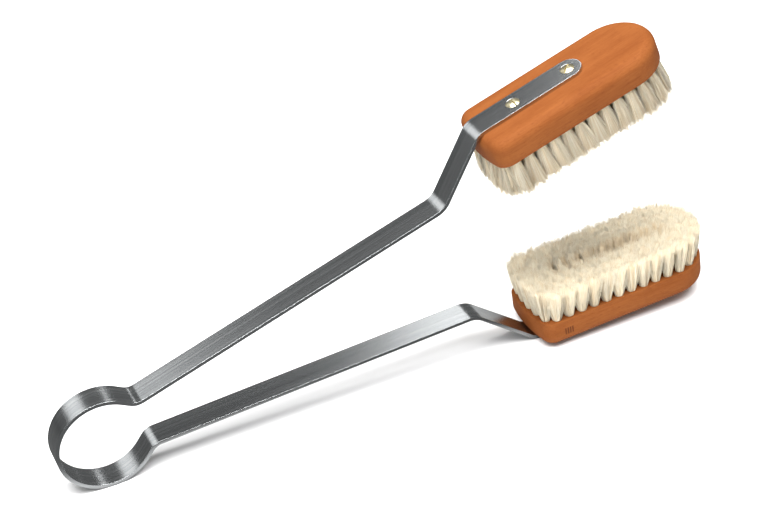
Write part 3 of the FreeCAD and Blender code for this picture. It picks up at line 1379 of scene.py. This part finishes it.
    @staticmethod
    def _places(template: np.ndarray, tone: np.ndarray) -> np.ndarray:
        """Height along the hair and tone, for each point of each copy.

        Args:
            template: Points of the straight shape.
            tone: Tone of each copy.

        Returns:
            The pairs that the finish reads.
        """
        across = np.repeat(tone[:, None], len(template), axis=1)
        along = np.broadcast_to(template[:, 2], across.shape)
        return np.stack([along, across], axis=-1)

    def _mesh(self, parts: list[tuple]) -> bpy.types.Object:
        """Join all the ring's hairs and bundles in one mesh with its own UV places.

        Args:
            parts: Tuples of points, normals, places and the faces of one copy.

        Returns:
            The new object.
        """
        name = f"{self.side.value}_{self.ring.kind.value}_hair"
        mesh = bpy.data.meshes.new(name)
        loops, sizes, first = [], [], 0
        for points, _, _, faces in parts:
            copies, corners = points.shape[0], points.shape[1]
            pattern = np.concatenate([np.array(face) for face in faces])
            loops.append((pattern[None, :] + first + np.arange(copies)[:, None] * corners).ravel())
            sizes.append(np.tile([len(face) for face in faces], copies))
            first += copies * corners
        loops, sizes = np.concatenate(loops), np.concatenate(sizes)
        pad = LAYOUT.pad(self.side)
        turn = np.array(pad.to_3x3())
        points = np.concatenate([part[0].reshape(-1, 3) for part in parts]) @ turn.T
        points += np.array(pad.to_translation())
        facing = np.concatenate([part[1].reshape(-1, 3) for part in parts]) @ turn.T
        places = np.concatenate([part[2].reshape(-1, 2) for part in parts])
        starts = np.concatenate([[0], np.cumsum(sizes)[:-1]])
        mesh.vertices.add(len(points))
        mesh.vertices.foreach_set("co", points.astype(np.float32).ravel())
        mesh.loops.add(len(loops))
        mesh.loops.foreach_set("vertex_index", loops.astype(np.int32))
        mesh.polygons.add(len(starts))
        mesh.polygons.foreach_set("loop_start", starts.astype(np.int32))
        mesh.update(calc_edges=True)
        layer = mesh.uv_layers.new(name="hair")
        layer.data.foreach_set("uv", places[loops].astype(np.float32).ravel())
        mesh.polygons.foreach_set("use_smooth", np.ones(len(starts), dtype=bool))
        mesh.validate()
        mesh.normals_split_custom_set_from_vertices(facing.tolist())
        piece = bpy.data.objects.new(name, mesh)
        bpy.context.scene.collection.objects.link(piece)
        return piece


# ---------------------------------------------------------------------------
# Studio
# ---------------------------------------------------------------------------

@dataclass(frozen=True)
class Panel:
    """A soft light panel that faces a point."""

    name: str
    place: tuple
    aim: tuple
    size: tuple
    power: float
    colour: tuple = (1.0, 1.0, 1.0)

    def build(self) -> None:
        """Add the area light."""
        light = bpy.data.lights.new(self.name, "AREA")
        light.shape = "RECTANGLE"
        light.size, light.size_y = self.size
        light.energy = self.power
        light.color = self.colour
        lamp = bpy.data.objects.new(self.name, light)
        lamp.location = self.place
        direction = Vector(self.aim) - Vector(self.place)
        lamp.rotation_euler = direction.to_track_quat("-Z", "Y").to_euler()
        bpy.context.scene.collection.objects.link(lamp)


@dataclass(frozen=True)
class Studio:
    """Pale floor, soft panels and the camera."""

    camera_place: tuple = (-0.27933, -0.73988, 0.58925)
    camera_aim: tuple = (0.00137, 0.0, 0.07664)
    camera_roll: float = math.radians(-6.3)
    lens: float = 86.75
    sensor: float = 36.0
    floor_size: float = 6.0
    floor_dark: tuple = (0.88, 0.88, 0.88, 1.0)
    floor_light: tuple = (0.90, 0.90, 0.90, 1.0)
    painted_reflection_dark: tuple = (0.06, 0.06, 0.06, 1.0)
    painted_reflection_light: tuple = (0.36, 0.36, 0.36, 1.0)
    surround: float = 0.15
    panels: tuple = (
        Panel("overhead", (-0.05, -0.25, 1.15), (0.0, 0.0, 0.0), (1.5, 1.1), 50.0),
        Panel("front_left", (-0.9, -0.9, 0.9), (0.0, 0.0, 0.05), (0.7, 0.7), 3.0),
        Panel("front_low", (-0.75, -1.15, 0.22), (0.0, 0.0, 0.08), (0.9, 0.4), 4.5),
        Panel("back_right", (0.322, 0.80, 0.80), (0.1, 0.0, 0.08), (0.15, 0.40), 0.46),
        Panel("back_left", (-0.75, 1.30, 0.92), (0.0, 0.0, 0.08), (0.60, 0.85), 2.0),
    )

    def build(self) -> None:
        """Set up everything that isn't the object."""
        bpy.context.scene.view_settings.view_transform = "Standard"
        self._floor()
        self._world()
        for panel in self.panels:
            panel.build()
        self._camera()

    def _floor(self) -> None:
        """A wide pale floor; to mirror-like rays it shows a painted reflection instead: dark, lighter
        to the right and behind, and lighter where such a ray meets it close by in front.
        """
        deselect_all()
        bpy.ops.mesh.primitive_plane_add(size=self.floor_size, location=(0, 0, 0))
        floor = bpy.context.object
        floor.name = "floor"
        material, tree = new_material("pale_floor")
        spot = tree.plain_place()
        pale = tree.principled({
            "Base Color": tree.mix(tree.noise(spot, 3.0, 2.0), self.floor_dark, self.floor_light),
            "Roughness": 0.8,
            "Specular IOR Level": 0.2})
        place = tree.axes(spot)
        ray = tree.node("ShaderNodeLightPath")
        # painted reflection: the floor that the metal mirrors is lighter to the right of and behind the
        # object
        right = ((place.out("X") - 0.02) * 6.0).clamped() * (place.out("Y") * 12.0).clamped()
        shade = tree.mix(right, self.painted_reflection_dark, self.painted_reflection_light)
        # painted reflection: lighter where a mirror-like ray meets the floor close by, in front
        under = ray.out("Ray Length").below(24 * MM, 26 * MM) * place.out("Y").below(-8 * MM, 1 * MM)
        shade = tree.mix(under, shade, self.painted_reflection_light)
        # glossy rays see this painted reflection in place of the pale floor
        painted_reflection = tree.node("ShaderNodeBsdfDiffuse", None, {"Color": shade}).out()
        tree.finish(tree.blend(ray.out("Is Glossy Ray"), pale, painted_reflection))
        dress(floor, material)

    def _world(self) -> None:
        """An even pale surround."""
        world = bpy.data.worlds.new("surround")
        bpy.context.scene.world = world
        tree = NodeTree(world)
        glow = tree.node("ShaderNodeBackground", None, {"Color": (1.0, 1.0, 1.0, 1.0),
                                                        "Strength": self.surround})
        tree.node("ShaderNodeOutputWorld", None, {"Surface": glow.out()})

    def _camera(self) -> None:
        """The camera, with its small roll."""
        data = bpy.data.cameras.new("camera")
        data.lens = self.lens
        data.sensor_width = self.sensor
        camera = bpy.data.objects.new("camera", data)
        camera.location = self.camera_place
        direction = Vector(self.camera_aim) - Vector(self.camera_place)
        facing = direction.to_track_quat("-Z", "Y").to_matrix()
        camera.rotation_euler = (facing @ Matrix.Rotation(self.camera_roll, 3, "Z")).to_euler()
        bpy.context.scene.collection.objects.link(camera)
        bpy.context.scene.camera = camera


# ---------------------------------------------------------------------------
# Assembly
# ---------------------------------------------------------------------------

SLOT_ANGLES = {Side.UPPER: (85.0, 138.0), Side.LOWER: (-35.0, -115.0)}
SEEDS = {Side.UPPER: 7, Side.LOWER: 19}


def build_strip() -> None:
    """The whole strip as one piece, in place of the CAD's bow and arms."""
    strip = SpringStrip().build()
    turn = LAYOUT.to_row()
    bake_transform(strip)
    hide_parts("spring_bow", "lower_arm", "upper_arm")
    LOG.info("spring strip: %d faces", len(strip.data.polygons))


def build_half(side: Side, brass: bpy.types.Material, hair: bpy.types.Material) -> None:
    """Block, screws and hair of one half.

    Args:
        side: Which half.
        brass: Finish of the screws.
        hair: Finish of the tufts.
    """
    block = BrushBlock(side).build()
    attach(block, side.body)
    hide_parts(side.value + "_block")
    LOG.info("%s: %d faces", block.name, len(block.data.polygons))
    for name, along, angle in zip(("near", "far"), LAYOUT.screw_places, SLOT_ANGLES[side]):
        screw = WoodScrew(side, name, along, math.radians(angle)).build(brass)
        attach(screw, side.body)
        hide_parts(f"{side.value}_screw_{name}")
        LOG.info("%s: %d faces", screw.name, len(screw.data.polygons))
    for number, ring in enumerate(RINGS):
        tufts = HairRing(side, ring, 100 * number + SEEDS[side]).build(hair)
        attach(tufts, side.body)
        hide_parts(f"{side.value}_{ring.kind.value}_tufts")
        LOG.info("%s: %d faces", tufts.name, len(tufts.data.polygons))


def dress_staples() -> None:
    """The staples are CAD pieces inside the wood; they get a drawn-wire finish."""
    material, tree = new_material("drawn_wire")
    drawn = tree.noise(tree.plain_place(), 900.0, 2.0)
    tree.surface({
        "Base Color": tree.mix(drawn, (0.45, 0.45, 0.46, 1), (0.62, 0.62, 0.62, 1)),
        "Metallic": 1.0,
        "Roughness": 0.3 + drawn * 0.1})
    for name, node in frame["nodes"].items():
        if name.endswith("_staples"):
            dress(node, material)


def main() -> None:
    """Build every piece in order."""
    logging.basicConfig(level=logging.INFO)
    deselect_all()
    Studio().build()
    brass = PaleBrass().material()
    hair = GoatHair().material()
    build_strip()
    for side in Side:
        build_half(side, brass, hair)
    dress_staples()


if __name__ == "__main__":
    main()
